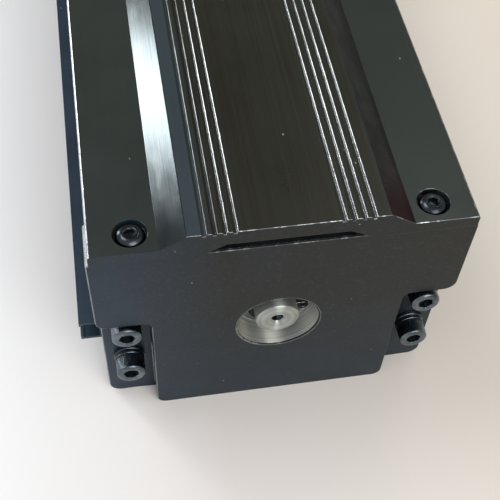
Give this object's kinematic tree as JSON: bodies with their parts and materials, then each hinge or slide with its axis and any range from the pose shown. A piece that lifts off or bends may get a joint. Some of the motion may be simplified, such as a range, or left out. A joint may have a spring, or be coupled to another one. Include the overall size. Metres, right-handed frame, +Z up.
{
  "type": "ball screw linear module",
  "caption": "Covered linear actuator: ball screw in an extruded U base drives a carriage table on two guide rails beside a ribbed full-length cover.",
  "frame": {"origin": "middle of the base profile's underside, on the mounting face", "axes": "+X to the right seen from the support end, +Y along the module from the support end to the motor end, +Z up through the carriage table"},
  "size_m": [0.141, 0.4937, 0.1164],
  "materials": {
    "black_anodised": "matte black anodised over fine blasting",
    "cover_anodised": "black anodised extrusion with bright cut grooves",
    "plain_aluminium": "milled, clear anodised",
    "ground_steel": "ground and hardened",
    "blackened_steel": "black oxide with worn bright edges",
    "zinc_steel": "zinc plated",
    "spring_steel": "phosphated spring steel",
    "black_rubber": "moulded rubber",
    "red_elastomer": "moulded polyurethane",
    "green_plastic": "injection moulded",
    "pale_plastic": "machined plastic"
  },
  "bodies": {
    "base": {"base_profile": "black_anodised", "front_block": "black_anodised", "rear_block": "black_anodised", "top_cover": "cover_anodised", "cover_screws": "blackened_steel", "front_block_screws": "blackened_steel", "front_spring_washers": "blackened_steel", "front_flat_washers": "zinc_steel", "rear_block_screws": "blackened_steel", "rear_spring_washers": "blackened_steel", "rear_flat_washers": "zinc_steel", "guide_rail_left": "ground_steel", "guide_rail_right": "ground_steel", "rail_screws": "blackened_steel", "front_bearing_outer_ring": "ground_steel", "front_bearing_shields": "zinc_steel", "front_bearing_balls": "ground_steel", "rear_bearing_outer_rings": "ground_steel", "rear_bearing_balls": "ground_steel", "bearing_cover": "black_anodised", "bearing_cover_screws": "blackened_steel", "motor_housing": "black_anodised", "motor_housing_screws": "blackened_steel", "access_cover": "plain_aluminium", "access_cover_screws": "blackened_steel", "sensor_rail": "black_anodised", "sensor_rail_nuts": "zinc_steel", "sensor_rail_screws": "blackened_steel", "bumpers": "black_rubber"},
    "carriage": {"carriage_saddle": "plain_aluminium", "left_riser": "black_anodised", "right_riser": "black_anodised", "carriage_table": "black_anodised", "table_screws": "blackened_steel", "guide_block_front_left": "ground_steel", "guide_block_front_right": "ground_steel", "guide_block_rear_left": "ground_steel", "guide_block_rear_right": "ground_steel", "guide_end_caps": "green_plastic", "guide_block_screws": "blackened_steel", "ball_nut": "ground_steel", "ball_nut_screws": "blackened_steel", "nut_wipers": "pale_plastic"},
    "screw": {"screw_shaft": "ground_steel", "front_circlip": "spring_steel", "front_bearing_inner_ring": "ground_steel", "rear_bearing_inner_rings": "ground_steel", "bearing_spacer": "ground_steel", "lock_nut": "blackened_steel", "coupling_hub_screw_side": "plain_aluminium", "coupling_hub_motor_side": "plain_aluminium", "coupling_spider": "red_elastomer", "coupling_clamp_screws": "blackened_steel"}
  },
  "joints": [
    {"name": "carriage_slide", "type": "slide", "parent": "base", "child": "carriage", "axis": [0, 1, 0], "range_m": [-0.235, 0.004]},
    {"name": "screw_spin", "type": "hinge", "parent": "base", "child": "screw", "pos_m": [0, 0, 0.047], "axis": [0, 1, 0], "range_deg": [-180, 8500]}
  ],
  "couplings": [
    {"joint": "screw_spin", "follows": "carriage_slide", "rad_per_m": -628.32}
  ]
}
